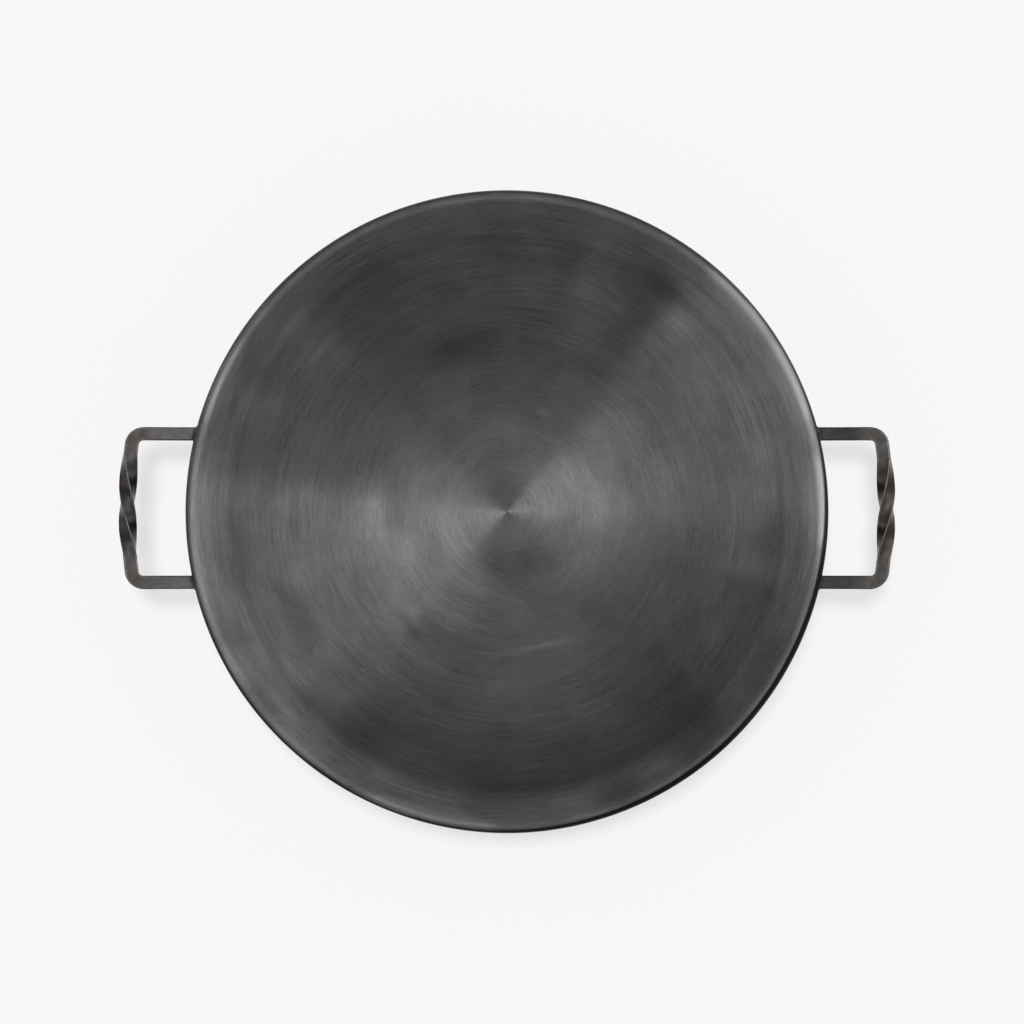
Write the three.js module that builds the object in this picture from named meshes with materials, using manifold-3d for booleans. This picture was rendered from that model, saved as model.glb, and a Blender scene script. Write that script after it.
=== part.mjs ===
// A wide two-handled wok. The bowl is spun from one steel sheet: a flat base, a round wall, a flared
// brim and a lip turned down at the edge. Each handle is one length of square bar, twisted half a turn
// and bent to a loop. Its legs run under the lip to the wall, and are welded at both places.
// Millimetres, +Z up. The origin is the middle of the base, on the surface that the wok stands on.
import * as THREE from "three";
import { mergeVertices } from "three/addons/utils/BufferGeometryUtils.js";
import Module from "manifold-3d";

const wasm = await Module();
wasm.setup();

const { cos, sin, tan, sqrt, PI } = Math;
const degrees = THREE.MathUtils.degToRad;

// Bowl
const RIM_DIAMETER = 460; // over the outside of the lip
const BASE_DIAMETER = 90; // flat disc that the wok stands on
const BOWL_HEIGHT = 84; // from the table to the crown of the lip
const SHEET = 2.5; // thickness of the spun sheet
const BRIM_LENGTH = 12; // straight flare between the wall and the lip
const BRIM_SLOPE = degrees(30);
const BRIM_BEND = 8; // radius between wall and brim, at the middle of the sheet
const LIP_RADIUS = 7; // radius of the turned-down lip, at the middle of the sheet

// Handles
const BAR = 9.5; // side of the square bar
const BAR_EDGE = 1; // rounding of the bar's long edges
const LEG_SPACING = 106.5; // between the two legs of one handle
const FINGER_ROOM = 37; // clear of the lip, to the grip's middle, seen from above
const GRIP_BOW = 3; // how far the grip bulges outwards
const BEND_RADIUS = 8.5; // of the loop's corners, at the middle of the bar
const HANDLE_RISE = degrees(10); // the loop climbs outwards
const TWIST_LENGTH = 76;
const TWIST_SHIFT = 8; // from the middle of the grip to that of the twist, towards the rear leg
const TWIST_TURN = PI;
const TWIST_EASE = 0.4; // share of the turn that starts and ends gently

// Fits and welds
const GAP = 0.3; // between pieces that a weld joins
const LIP_PLAY = 2 * GAP; // between the lip's edge and the top of a leg
const WALL_WELD = 3.5; // bead round the end of a leg, on the wall
const LIP_WELD = 2.4; // bead across the top of a leg, along the lip
const WELD_OVERHANG = 1.2; // how far the lip's bead runs past the sides of the leg
const WELD_TAPER = 0.98; // how nearly the lip's bead closes at its ends

// Fineness of the facets
const BOWL_SEGMENTS = 72;
const WALL_STEPS = 10;
const BRIM_BEND_STEPS = 2;
const LIP_STEPS = 8;
const EDGE_STEPS = 4;
const CORNER_STEPS = 6;
const GRIP_STEPS = 40;
const SECTION_CORNER_STEPS = 2;
const WELD_SIDE_STEPS = 4;
const BEAD_SIDES = 8;
const BEAD_STEPS = 10;

const RIM_RADIUS = RIM_DIAMETER / 2;
const BASE_RADIUS = BASE_DIAMETER / 2;

// Materials
const bowlSteel = new THREE.MeshStandardMaterial({ color: 0x5c5c5b, roughness: 0.42, metalness: 0.9 });
const handleSteel = new THREE.MeshStandardMaterial({ color: 0x57514d, roughness: 0.5, metalness: 0.9 });
const weldSteel = new THREE.MeshStandardMaterial({ color: 0x3d3a38, roughness: 0.6, metalness: 0.85 });

// Where a rising function passes through zero, between low and high.
function root(rising, low, high) {
  for (let halving = 0; halving < 60; halving++) {
    const middle = (low + high) / 2;
    if (rising(middle) < 0) low = middle;
    else high = middle;
  }
  return (low + high) / 2;
}

// Follows straight runs and round bends in a plane and returns the stations on the way, each a place
// and a heading. A positive turn bends to the left.
function trace(start, heading, moves) {
  const at = start.clone();
  const stations = [{ at: at.clone(), heading }];
  for (const { run, bend, turn = 0, steps = 1 } of moves) {
    const part = turn / steps;
    const chord = run === undefined ? 2 * bend * sin(Math.abs(part) / 2) : run / steps;
    for (let step = 0; step < steps; step++) {
      at.x += chord * cos(heading + part / 2);
      at.y += chord * sin(heading + part / 2);
      heading += part;
      stations.push({ at: at.clone(), heading });
    }
  }
  return stations;
}

// The line that runs at a distance to the left of the stations.
function beside(stations, distance) {
  return stations.map(({ at, heading }) => {
    return new THREE.Vector2(at.x - distance * sin(heading), at.y + distance * cos(heading));
  });
}

// A skin over rings of equally many points: a loop if the rings close on themselves, else with end caps.
function loft(rings, closed) {
  const sides = rings[0].length;
  const positions = rings.flat().flatMap((point) => point.toArray());
  const faces = [];
  const spans = closed ? rings.length : rings.length - 1;
  for (let ring = 0; ring < spans; ring++) {
    const here = ring * sides;
    const there = ((ring + 1) % rings.length) * sides;
    for (let side = 0; side < sides; side++) {
      const next = (side + 1) % sides;
      faces.push(here + side, here + next, there + next, here + side, there + next, there + side);
    }
  }
  if (!closed) {
    const last = (rings.length - 1) * sides;
    for (let side = 1; side < sides - 1; side++) {
      faces.push(0, side + 1, side, last, last + side, last + side + 1);
    }
  }
  const geometry = new THREE.BufferGeometry();
  geometry.setAttribute("position", new THREE.Float32BufferAttribute(positions, 3));
  geometry.setIndex(faces);
  return geometry;
}

// A closed geometry as a solid that can be cut.
function solid(geometry) {
  const bare = geometry.clone();
  bare.deleteAttribute("normal");
  bare.deleteAttribute("uv");
  const merged = mergeVertices(bare, 1e-4);
  const faces = merged.index.array;
  const triVerts = [];
  for (let i = 0; i < faces.length; i += 3) {
    const [a, b, c] = faces.slice(i, i + 3);
    if (a !== b && b !== c && c !== a) triVerts.push(a, b, c);
  }
  return new wasm.Manifold(
    new wasm.Mesh({
      numProp: 3,
      vertProperties: merged.attributes.position.array,
      triVerts: new Uint32Array(triVerts),
    }),
  );
}

// What is left of a geometry once others are cut away.
function cut(geometry, ...cutters) {
  const left = cutters.reduce((rest, cutter) => rest.subtract(solid(cutter)), solid(geometry));
  const { vertProperties, triVerts } = left.getMesh();
  const made = new THREE.BufferGeometry();
  made.setAttribute("position", new THREE.BufferAttribute(vertProperties, 3));
  made.setIndex(new THREE.BufferAttribute(triVerts, 1));
  made.computeVertexNormals();
  return made;
}

// The middle of the sheet, from the axis to the edge of the lip, as radius and height. The wall's round
// runs from the base to the brim, and its end slope is the one that gives the bowl its height.
function sheetLine() {
  const brimEnd = RIM_RADIUS - SHEET / 2 - LIP_RADIUS * (1 + sin(BRIM_SLOPE));
  const bendSpan = (slope) => BRIM_BEND * (sin(slope) - sin(BRIM_SLOPE));
  const wallSpan = (slope) => brimEnd - BRIM_LENGTH * cos(BRIM_SLOPE) - bendSpan(slope) - BASE_RADIUS;
  const wallRadius = (slope) => wallSpan(slope) / sin(slope);
  const height = (slope) => {
    const wall = wallRadius(slope) * (1 - cos(slope));
    const bend = BRIM_BEND * (cos(BRIM_SLOPE) - cos(slope));
    const brim = BRIM_LENGTH * sin(BRIM_SLOPE);
    const lip = LIP_RADIUS * (1 - cos(BRIM_SLOPE));
    return wall + bend + brim + lip + SHEET;
  };
  const wallSlope = root((slope) => height(slope) - BOWL_HEIGHT, degrees(5), degrees(85));
  return trace(new THREE.Vector2(0, SHEET / 2), 0, [
    { run: BASE_RADIUS },
    { bend: wallRadius(wallSlope), turn: wallSlope, steps: WALL_STEPS },
    { bend: BRIM_BEND, turn: BRIM_SLOPE - wallSlope, steps: BRIM_BEND_STEPS },
    { run: BRIM_LENGTH },
    { bend: LIP_RADIUS, turn: -BRIM_SLOPE - PI / 2, steps: LIP_STEPS },
  ]);
}

const sheet = sheetLine();
const lipEnd = sheet.at(-1);

// The rounded edge of the lip, from its underside to its outside.
function lipEdge(radius) {
  const points = [];
  for (let step = 1; step < EDGE_STEPS; step++) {
    const angle = lipEnd.heading - PI / 2 + (PI * step) / EDGE_STEPS;
    points.push(new THREE.Vector2(cos(angle), sin(angle)).multiplyScalar(radius).add(lipEnd.at));
  }
  return points;
}

function revolve(outline) {
  return new THREE.LatheGeometry(outline, BOWL_SEGMENTS).rotateX(PI / 2);
}

function bowlGeometry() {
  const underside = beside(sheet, -SHEET / 2);
  const topside = beside(sheet, SHEET / 2);
  return revolve([...underside, ...lipEdge(SHEET / 2), ...topside.reverse()]);
}

// The bowl filled to the crown of its lip and grown by the gap, to cut what is welded to it.
function bowlCutter() {
  const reach = SHEET / 2 + GAP;
  const underside = beside(sheet, -reach);
  const lip = sheet.slice(-LIP_STEPS).filter(({ heading }) => heading < 0);
  const lipOutside = beside(lip, reach);
  const crown = new THREE.Vector2(0, BOWL_HEIGHT + GAP);
  return revolve([...underside, ...lipEdge(reach), ...lipOutside.reverse(), crown]);
}

// The radius of the wall's outside at a height.
function wallOutside(height) {
  const wall = beside(sheet, -SHEET / 2).filter((point, i) => sheet[i].heading > 0);
  const above = Math.max(1, wall.findIndex((point) => point.y > height));
  const [low, high] = [wall[above - 1], wall[above]];
  return low.x + ((high.x - low.x) * (height - low.y)) / (high.y - low.y);
}

// The right-hand handle's own frame: along its legs, across them, and square to its plane. It starts
// between the legs, where the lip's edge lies over them. A leg's stock reaches in over the base, and is
// cut off at the wall.
const legHalf = LEG_SPACING / 2;
const seatX = sqrt(lipEnd.at.x ** 2 - legHalf ** 2);
const legStock = seatX - BASE_RADIUS;
const legTop = lipEnd.at.y - SHEET / 2 - LIP_PLAY;
const seatZ = legTop - BAR / 2 / cos(HANDLE_RISE);
const along = new THREE.Vector3(cos(HANDLE_RISE), 0, sin(HANDLE_RISE));
const across = new THREE.Vector3(0, 1, 0);
const upright = new THREE.Vector3(-sin(HANDLE_RISE), 0, cos(HANDLE_RISE));

function inHandle(u, v, w) {
  const seat = new THREE.Vector3(seatX, 0, seatZ);
  return seat.addScaledVector(along, u).addScaledVector(across, v).addScaledVector(upright, w);
}

// The middle of the bar, from the inner end of the rear leg to that of the front one.
function barLine() {
  const halfSpan = (lean) => BEND_RADIUS * (1 - sin(lean)) + GRIP_BOW / tan(lean / 2);
  const lean = root((angle) => legHalf - halfSpan(angle), degrees(0.5), degrees(60));
  const gripRadius = GRIP_BOW / (1 - cos(lean));
  const gripMiddle = (RIM_RADIUS + FINGER_ROOM + BAR / 2 - seatX) / cos(HANDLE_RISE);
  const leg = legStock + gripMiddle - GRIP_BOW - BEND_RADIUS * cos(lean);
  const corner = { bend: BEND_RADIUS, turn: lean - PI / 2, steps: CORNER_STEPS };
  const grip = { bend: gripRadius, turn: -2 * lean, steps: GRIP_STEPS };
  const start = new THREE.Vector2(-legStock, legHalf);
  return trace(start, 0, [{ run: leg }, corner, grip, corner, { run: leg }]);
}

// The outline of the square bar with its rounded edges, as places round its middle.
function barSection(grow, sideSteps = 1) {
  const flat = BAR / 2 - BAR_EDGE;
  const round = BAR_EDGE + grow;
  const points = [];
  for (let quarter = 0; quarter < 4; quarter++) {
    const middle = new THREE.Vector2(flat, flat).rotateAround(new THREE.Vector2(), (quarter * PI) / 2);
    for (let step = 0; step <= SECTION_CORNER_STEPS; step++) {
      const angle = (quarter + step / SECTION_CORNER_STEPS) * (PI / 2);
      const normal = new THREE.Vector2(cos(angle), sin(angle));
      points.push({ at: normal.clone().multiplyScalar(round).add(middle), normal });
    }
    const { at: from, normal } = points.at(-1);
    const to = from.clone().addScaledVector(new THREE.Vector2(-normal.y, normal.x), 2 * flat);
    for (let step = 1; step < sideSteps; step++) {
      points.push({ at: from.clone().lerp(to, step / sideSteps), normal });
    }
  }
  return points;
}

// How far the bar has turned about its own line at a distance from the middle of the twist.
function twistAt(distance) {
  const share = THREE.MathUtils.clamp(distance / TWIST_LENGTH + 0.5, 0, 1);
  const eased = THREE.MathUtils.smoothstep(share, 0, 1);
  return TWIST_TURN * THREE.MathUtils.lerp(share, eased, TWIST_EASE);
}

function barGeometry(grow) {
  const section = barSection(grow);
  const rings = barLine().map(({ at, heading }) => {
    const twist = twistAt(TWIST_SHIFT - at.y);
    return section.map(({ at: place }) => {
      const side = place.x * cos(twist) - place.y * sin(twist);
      const rise = place.x * sin(twist) + place.y * cos(twist);
      return inHandle(at.x - side * sin(heading), at.y + side * cos(heading), rise);
    });
  });
  return loft(rings, false);
}

// The bead round the end of the rear leg: a half-round rib that follows the seam of leg and wall.
function wallWeldGeometry() {
  const seam = barSection(0, WELD_SIDE_STEPS).map(({ at, normal }) => {
    const onLeg = (u) => inHandle(u, legHalf + at.x, at.y);
    const clear = (point) => Math.hypot(point.x, point.y) - wallOutside(point.z);
    const u = root((distance) => clear(onLeg(distance)), -legStock, 0);
    const outwards = across.clone().multiplyScalar(normal.x).addScaledVector(upright, normal.y);
    return { at: onLeg(u), outwards };
  });
  const rings = seam.map(({ at, outwards }, i) => {
    const before = seam[(i + seam.length - 1) % seam.length].at;
    const after = seam[(i + 1) % seam.length].at;
    const run = after.clone().sub(before).normalize();
    const sideways = new THREE.Vector3().crossVectors(run, outwards).normalize();
    const ring = [at.clone().addScaledVector(outwards, -BAR_EDGE / 2)];
    for (let side = 0; side <= BEAD_SIDES; side++) {
      const angle = PI * (side / BEAD_SIDES - 0.5);
      const spoke = outwards.clone().multiplyScalar(cos(angle)).addScaledVector(sideways, sin(angle));
      ring.push(at.clone().addScaledVector(spoke, WALL_WELD));
    }
    return ring;
  });
  return loft(rings, true);
}

// The bead across the top of the rear leg, along the outside of the lip, thinning to its two ends.
function lipWeldGeometry() {
  const halfLength = BAR / 2 + WELD_OVERHANG;
  const rings = [];
  for (let step = 0; step <= BEAD_STEPS; step++) {
    const share = sin(PI * (step / BEAD_STEPS - 0.5));
    const y = legHalf + share * halfLength;
    const x = sqrt(RIM_RADIUS ** 2 - y ** 2);
    const z = legTop + (x - seatX) * tan(HANDLE_RISE);
    const radius = LIP_WELD * sqrt(1 - (WELD_TAPER * share) ** 4);
    const outwards = new THREE.Vector3(x, y, 0).normalize();
    const ring = [];
    for (let side = 0; side < BEAD_SIDES; side++) {
      const angle = (2 * PI * side) / BEAD_SIDES;
      const spoke = outwards.clone().multiplyScalar(-cos(angle)).setZ(sin(angle));
      ring.push(new THREE.Vector3(x, y, z).addScaledVector(spoke, radius));
    }
    rings.push(ring);
  }
  return loft(rings, false);
}

function named(name, geometry, material) {
  const mesh = new THREE.Mesh(geometry, material);
  mesh.name = name;
  return mesh;
}

// One handle with its four welds. Both sides share the right-hand shapes, and the left mirrors them.
function handleSide(side, shapes) {
  const group = new THREE.Group();
  group.add(named(`handle_${side}`, shapes.handle, handleSteel));
  for (const [end, mirror] of [["rear", 1], ["front", -1]]) {
    const leg = new THREE.Group();
    leg.add(named(`wall_weld_${side}_${end}`, shapes.wallWeld, weldSteel));
    leg.add(named(`lip_weld_${side}_${end}`, shapes.lipWeld, weldSteel));
    leg.scale.y = mirror;
    group.add(leg);
  }
  return group;
}

const bowlShape = bowlCutter();
const barShape = barGeometry(GAP);
const shapes = {
  handle: cut(barGeometry(0), bowlShape),
  wallWeld: cut(wallWeldGeometry(), barShape, bowlShape),
  lipWeld: cut(lipWeldGeometry(), barShape, bowlShape),
};

const wok = new THREE.Group();
wok.name = "wok";
wok.add(named("bowl", bowlGeometry(), bowlSteel));
wok.add(handleSide("right", shapes));
const leftSide = handleSide("left", shapes);
leftSide.scale.x = -1;
wok.add(leftSide);

export default wok;
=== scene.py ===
# %% [markdown]
# # A wok of spun steel
# The object is a wide, shallow wok. Its bowl is one steel sheet, spun to shape on a lathe and brushed
# while it turned. Each handle is one length of square bar, twisted half a turn, bent to a loop and welded
# under the rim. The CAD model is loaded first, as a fixed frame. Everything after that dresses it and
# never moves it. Lengths are in metres, +Z points up out of the bowl, and +X runs along the line through
# both handles.

# %% Load the frame
from math import cos, hypot, pi, radians, sin, sqrt, tan

import bpy
from mathutils import Matrix, Vector


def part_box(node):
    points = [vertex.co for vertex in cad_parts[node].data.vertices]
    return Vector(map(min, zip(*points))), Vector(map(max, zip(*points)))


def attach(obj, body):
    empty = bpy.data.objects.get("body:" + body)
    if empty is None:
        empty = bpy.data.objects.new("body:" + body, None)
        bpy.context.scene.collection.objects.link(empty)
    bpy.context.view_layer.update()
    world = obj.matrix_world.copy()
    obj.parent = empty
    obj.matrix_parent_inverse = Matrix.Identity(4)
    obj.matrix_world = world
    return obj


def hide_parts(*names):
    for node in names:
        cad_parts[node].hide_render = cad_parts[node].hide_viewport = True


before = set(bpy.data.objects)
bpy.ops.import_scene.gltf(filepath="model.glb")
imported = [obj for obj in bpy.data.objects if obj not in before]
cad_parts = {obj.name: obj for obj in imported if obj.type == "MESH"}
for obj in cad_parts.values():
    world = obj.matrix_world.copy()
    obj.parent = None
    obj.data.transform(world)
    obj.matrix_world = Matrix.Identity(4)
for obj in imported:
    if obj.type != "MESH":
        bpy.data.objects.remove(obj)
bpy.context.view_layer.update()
print("CAD nodes:", ", ".join(sorted(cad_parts)))

# %% [markdown]
# ## Lines made of runs and bends
# A sheet-metal section and a bent bar are both drawn the way they are formed: go straight, bend, go
# straight. They could be typed in as lists of points, but then no size could be changed. A small walker
# turns runs and bends into stations, and keeps the heading at each one, so a parallel line is one step to
# the side.

# %% Walk a plane line
MM = 0.001
CM = 0.01
HALVINGS = 60


def trace(start, heading, moves):
    """Follows moves of (size, turn, steps): a straight run if turn is 0, else a bend of that radius."""
    at = Vector(start)
    stations = [(at.copy(), heading)]
    for size, turn, steps in moves:
        part = turn / steps
        chord = 2 * size * sin(abs(part) / 2) if turn else size / steps
        for _ in range(steps):
            at += chord * Vector((cos(heading + part / 2), sin(heading + part / 2)))
            heading += part
            stations.append((at.copy(), heading))
    return stations


def beside(stations, distance):
    """The line that runs at a distance to the left of the stations."""
    return [at + distance * Vector((-sin(heading), cos(heading))) for at, heading in stations]


def solve(rising, low, high):
    """Where a rising function passes through zero, between low and high."""
    for _ in range(HALVINGS):
        middle = (low + high) / 2
        if rising(middle) < 0:
            low = middle
        else:
            high = middle
    return (low + high) / 2


def in_mm(values, digits=2):
    """Lengths for a printed line."""
    return [round(value / MM, digits) for value in values]


quarter_bend = trace((0, 0), 0, [(10 * MM, pi / 2, 4)])
print("a quarter bend of 10 mm ends at", in_mm(quarter_bend[-1][0]), "mm")

# %% [markdown]
# ## The section of the bowl
# Cut through the middle, the real bowl is one line of sheet: a flat base, a round wall, a flared brim
# that eases over, and a lip that is turned down at the edge. The rim and the height come from the CAD
# node's own box. The slope at the top of the wall isn't a size of its own: it is the one that lets the
# bowl reach that height, so it is solved for.

# %% Sizes of the bowl
bowl_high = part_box("bowl")[1]
RIM_RADIUS = bowl_high.x
BOWL_HEIGHT = bowl_high.z
BASE_RADIUS = 45 * MM
SHEET = 2.5 * MM
BRIM_LENGTH = 8.5 * MM
BRIM_SLOPE = radians(22.5)
BRIM_BEND = 40 * MM
LIP_EASE = 12 * MM
LIP_RADIUS = 2.6 * MM
LIP_DROP = 4.5 * MM
FLATTEST_WALL = radians(5)
STEEPEST_WALL = radians(85)
STEPS = {"base": 16, "wall": 56, "bend": 16, "brim": 6, "ease": 10, "lip": 16, "drop": 3, "edge": 8}
print("rim radius and height:", in_mm((RIM_RADIUS, BOWL_HEIGHT)), "mm")


# %% Draw the section
def sheet_line():
    """The middle of the sheet as stations of radius and height, from the axis to the edge of the lip."""
    brim_end = RIM_RADIUS - SHEET / 2 - LIP_RADIUS - LIP_EASE * sin(BRIM_SLOPE)

    def wall_radius(slope):
        """The wall's radius if it ends at this slope, with the brim in its place."""
        bend_span = BRIM_BEND * (sin(slope) - sin(BRIM_SLOPE))
        return (brim_end - BRIM_LENGTH * cos(BRIM_SLOPE) - bend_span - BASE_RADIUS) / sin(slope)

    def height(slope):
        """How high the bowl gets with that wall."""
        wall = wall_radius(slope) * (1 - cos(slope))
        bend = BRIM_BEND * (cos(BRIM_SLOPE) - cos(slope))
        brim = BRIM_LENGTH * sin(BRIM_SLOPE)
        lip = LIP_EASE * (1 - cos(BRIM_SLOPE))
        return wall + bend + brim + lip + SHEET

    slope = solve(lambda angle: height(angle) - BOWL_HEIGHT, FLATTEST_WALL, STEEPEST_WALL)
    base = (BASE_RADIUS, 0, STEPS["base"])
    wall = (wall_radius(slope), slope, STEPS["wall"])
    bend = (BRIM_BEND, BRIM_SLOPE - slope, STEPS["bend"])
    brim = (BRIM_LENGTH, 0, STEPS["brim"])
    ease = (LIP_EASE, -BRIM_SLOPE, STEPS["ease"])
    lip = (LIP_RADIUS, -pi / 2, STEPS["lip"])
    drop = (LIP_DROP, 0, STEPS["drop"])
    return trace((0, SHEET / 2), 0, [base, wall, bend, brim, ease, lip, drop])


sheet = sheet_line()
lip_end, lip_heading = sheet[-1]
underside = beside(sheet, -SHEET / 2)
edge = [at for at, _ in trace(underside[-1], lip_heading, [(SHEET / 2, pi, STEPS["edge"])])]
outline = underside + edge[1:-1] + beside(sheet, SHEET / 2)[::-1]
lengths = [(b - a).length for a, b in zip(outline, outline[1:])]
lip_length = sum(lengths[:len(sheet) + STEPS["edge"] // 2])
print(len(outline), "points round the section, the lip ends at", in_mm(lip_end), "mm")
print("the edge of the lip is", round(lip_length / MM), "mm along the section")

# %% [markdown]
# ## Helpers for node trees
# Geometry Nodes and materials are both trees of nodes, so one helper adds a node to either of them: what
# is given for an input is linked if it is another node's output, and is a plain value if not.

# %% Add nodes to a tree
def add_node(tree, kind, inputs=None, **settings):
    """Adds a node, sets its properties, and links or fills the inputs that are named."""
    node = tree.nodes.new(kind)
    for name, value in settings.items():
        setattr(node, name, value)
    for name, value in (inputs or {}).items():
        if isinstance(value, bpy.types.NodeSocket):
            tree.links.new(value, node.inputs[name])
        else:
            node.inputs[name].default_value = value
    return node


def calc(tree, operation, *values, **settings):
    """The output of a Math node."""
    node = add_node(tree, "ShaderNodeMath", dict(enumerate(values)), operation=operation, **settings)
    return node.outputs[0]


def times(tree, first, *others):
    """The product of several values."""
    for other in others:
        first = calc(tree, "MULTIPLY", first, other)
    return first


def vector_calc(tree, operation, *values):
    """The output of a Vector Math node: a number for a length or a dot product, else a vector."""
    node = add_node(tree, "ShaderNodeVectorMath", dict(enumerate(values)), operation=operation)
    return node.outputs["Value" if operation in {"LENGTH", "DOT_PRODUCT"} else "Vector"]


def scaled(tree, vector, factor):
    """A vector times a number."""
    node = add_node(tree, "ShaderNodeVectorMath", {"Vector": vector, "Scale": factor}, operation="SCALE")
    return node.outputs["Vector"]


def remap(tree, value, low, high, to_low, to_high, smooth=False):
    """A value moved from one range to another, and held at its ends."""
    shape = "SMOOTHSTEP" if smooth else "LINEAR"
    inputs = {"Value": value, "From Min": low, "From Max": high, "To Min": to_low, "To Max": to_high}
    return add_node(tree, "ShaderNodeMapRange", inputs, interpolation_type=shape).outputs["Result"]


node_helpers = (add_node, calc, times, vector_calc, scaled, remap)
print("node helpers:", ", ".join(helper.__name__ for helper in node_helpers))

# %% [markdown]
# ## From a tree to a piece
# Each tree has named inputs for its sizes, as a modifier panel would show them. The finished piece must
# be a plain mesh, because instances and live modifiers don't travel to other programs. So the evaluated
# result is copied to a new mesh, and the modifier and the guide lines that it followed are removed.

# %% Open and close a tree
def new_tree(name, guide, sizes):
    """A Geometry Nodes tree with one named input for each size, its inputs, and the line that it follows."""
    tree = bpy.data.node_groups.new(name, "GeometryNodeTree")
    tree.interface.new_socket("Geometry", in_out="OUTPUT", socket_type="NodeSocketGeometry")
    for size, kind in {guide: "Object", **sizes, "Finish": "Material"}.items():
        tree.interface.new_socket(size, in_out="INPUT", socket_type="NodeSocket" + kind)
    inputs = tree.nodes.new("NodeGroupInput").outputs
    line = add_node(tree, "GeometryNodeObjectInfo", {"Object": inputs[guide]}).outputs["Geometry"]
    return tree, inputs, line


def keep_attribute(tree, geometry, name, value):
    """Stores a value on every point, for the finish to read."""
    inputs = {"Geometry": geometry, "Name": name, "Value": value}
    return add_node(tree, "GeometryNodeStoreNamedAttribute", inputs).outputs[0]


def close_tree(tree, geometry, finish):
    """Ends a tree: smooth shading, real geometry in place of instances, and the finish."""
    smooth = add_node(tree, "GeometryNodeSetShadeSmooth", {"Geometry": geometry})
    real = add_node(tree, "GeometryNodeRealizeInstances", {"Geometry": smooth.outputs[0]})
    dressed = add_node(tree, "GeometryNodeSetMaterial", {"Geometry": real.outputs[0], "Material": finish})
    add_node(tree, "NodeGroupOutput", {"Geometry": dressed.outputs[0]})
    return tree


print("every tree ends in:", close_tree.__name__)


# %% Turn a tree's result into a mesh
def new_object(name, data):
    """An object in the scene, made of a mesh, a curve, a lamp or a camera."""
    made = bpy.data.objects.new(name, data)
    bpy.context.scene.collection.objects.link(made)
    return made


def guide_line(name, places, closed=False):
    """A curve object for a tree to follow."""
    curve = bpy.data.curves.new(name, "CURVE")
    curve.dimensions = "3D"
    spline = curve.splines.new("POLY")
    spline.points.add(len(places) - 1)
    spline.use_cyclic_u = closed
    for point, place in zip(spline.points, places):
        point.co = (*place, 1)
    return new_object(name, curve)


def cubic_cm(mesh):
    """The volume of a closed mesh, above zero if its faces point outwards."""
    mesh.calc_loop_triangles()
    corners = [[mesh.vertices[i].co for i in triangle.vertices] for triangle in mesh.loop_triangles]
    # Each triangle and the origin make a tetrahedron, a sixth of the block on its three edges.
    return sum(a.dot(b.cross(c)) for a, b, c in corners) / 6 / CM**3


def make_piece(name, tree, values):
    """Runs a tree with its inputs set and keeps the result as a plain mesh object."""
    draft = new_object(name, bpy.data.meshes.new(name))
    modifier = draft.modifiers.new(tree.name, "NODES")
    modifier.node_group = tree
    for socket in tree.interface.items_tree:
        if socket.in_out == "INPUT":
            modifier[socket.identifier] = values[socket.name]
    graph = bpy.context.evaluated_depsgraph_get()
    made = bpy.data.meshes.new_from_object(
        draft.evaluated_get(graph), preserve_all_data_layers=True, depsgraph=graph
    )
    draft.modifiers.remove(modifier)
    bpy.data.meshes.remove(draft.data)
    made.name = name
    piece = new_object(name, made)
    for value in values.values():
        if isinstance(value, bpy.types.Object):
            bpy.data.curves.remove(value.data)
    print(f"{name}: {len(made.polygons)} faces, {cubic_cm(made):.2f} cubic centimetres")
    return piece


print("pieces are made by:", make_piece.__name__)

# %% [markdown]
# ## Helpers for finishes
# Every finish here is a metal whose colour, roughness and bump are steered by noise. A picture of steel
# could be wrapped round each piece, but it would stretch and repeat. Noise on the object's own
# coordinates has no seams, and its sizes can be changed.

# %% Start a finish
NOISE_MIDDLE = 0.5
NOISE_REACH = 0.2


def new_finish(name):
    """A metal with its tree, its shader and the object's own coordinates."""
    material = bpy.data.materials.new(name)
    material.use_nodes = True
    tree = material.node_tree
    shader = tree.nodes["Principled BSDF"]
    shader.inputs["Metallic"].default_value = 1
    place = add_node(tree, "ShaderNodeTexCoord").outputs["Object"]
    return material, tree, shader, place


def attribute(tree, name):
    """A value that a Geometry Nodes tree stored on the mesh."""
    return add_node(tree, "ShaderNodeAttribute", attribute_name=name).outputs["Fac"]


def cloud(tree, place, scale, detail, roughness=0.55):
    """Noise around one half, with a number of patches to the metre."""
    inputs = {"Vector": place, "Scale": scale, "Detail": detail, "Roughness": roughness}
    return add_node(tree, "ShaderNodeTexNoise", inputs).outputs[0]


def spread(tree, noise, low, high, reach=NOISE_REACH):
    """Noise moved to a new range. It lies around one half, seldom further off than its reach."""
    return remap(tree, noise, NOISE_MIDDLE - reach, NOISE_MIDDLE + reach, low, high)


def blend(tree, first, second, share):
    """The second value's share of a mix with the first."""
    return calc(tree, "MULTIPLY_ADD", second, share, times(tree, first, 1 - share))


print("noise is read from", NOISE_MIDDLE - NOISE_REACH, "to", NOISE_MIDDLE + NOISE_REACH)


# %% Colour and bump
def mix_colours(tree, share, first, second):
    """One colour where the share is 0, another where it is 1."""
    # A Mix node has a pair of inputs for each data type. Its colours are inputs 6 and 7, and output 2.
    inputs = {0: share, 6: first, 7: second}
    return add_node(tree, "ShaderNodeMix", inputs, data_type="RGBA").outputs[2]


def dress(tree, shader, colour, roughness, relief, strength, depth):
    """Links a colour, a roughness and a bump to the shader."""
    tree.links.new(colour, shader.inputs["Base Color"])
    tree.links.new(roughness, shader.inputs["Roughness"])
    bump = add_node(tree, "ShaderNodeBump", {"Height": relief, "Strength": strength, "Distance": depth})
    tree.links.new(bump.outputs[0], shader.inputs["Normal"])


print("a finish ends in:", dress.__name__)

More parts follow.
